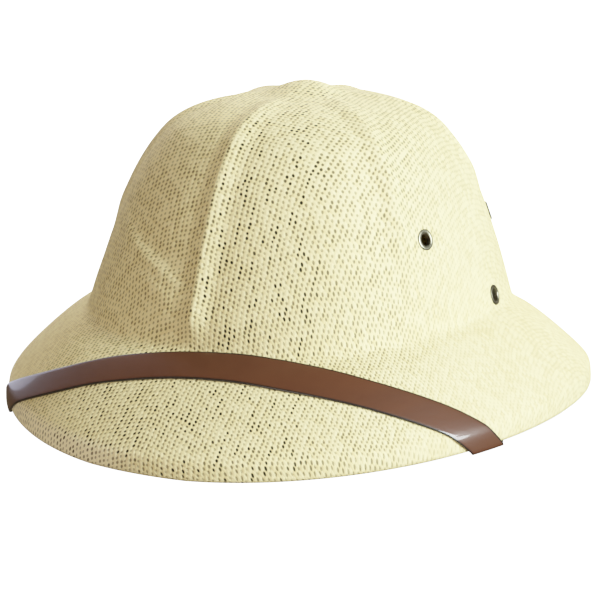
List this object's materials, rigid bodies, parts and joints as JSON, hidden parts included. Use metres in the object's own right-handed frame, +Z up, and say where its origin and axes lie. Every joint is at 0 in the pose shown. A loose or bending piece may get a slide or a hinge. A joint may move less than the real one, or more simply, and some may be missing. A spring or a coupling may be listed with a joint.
{
  "type": "straw sun helmet with leather chin strap",
  "caption": "Domed straw sun helmet with six pressed ribs, a sloping brim with a turned-down edge, side eyelets and a flat leather strap laid over the front of the brim.",
  "frame": {"origin": "middle of the hat's plan, on the surface that the hat rests on", "axes": "-Y towards the front of the hat, +X to the wearer's left, +Z up"},
  "size_m": [0.2884, 0.3164, 0.1616],
  "materials": {
    "paper_straw": "matt open weave of twisted paper straw",
    "brown_leather": "smooth glossy reddish brown",
    "plated_brass": "nickel plated, dulled by handling"
  },
  "bodies": {
    "root": {"straw_body": "paper_straw", "chin_strap": "brown_leather", "eyelet_left_front": "plated_brass", "eyelet_left_low": "plated_brass", "eyelet_left_back": "plated_brass", "eyelet_right_front": "plated_brass", "eyelet_right_low": "plated_brass", "eyelet_right_back": "plated_brass"}
  },
  "joints": []
}
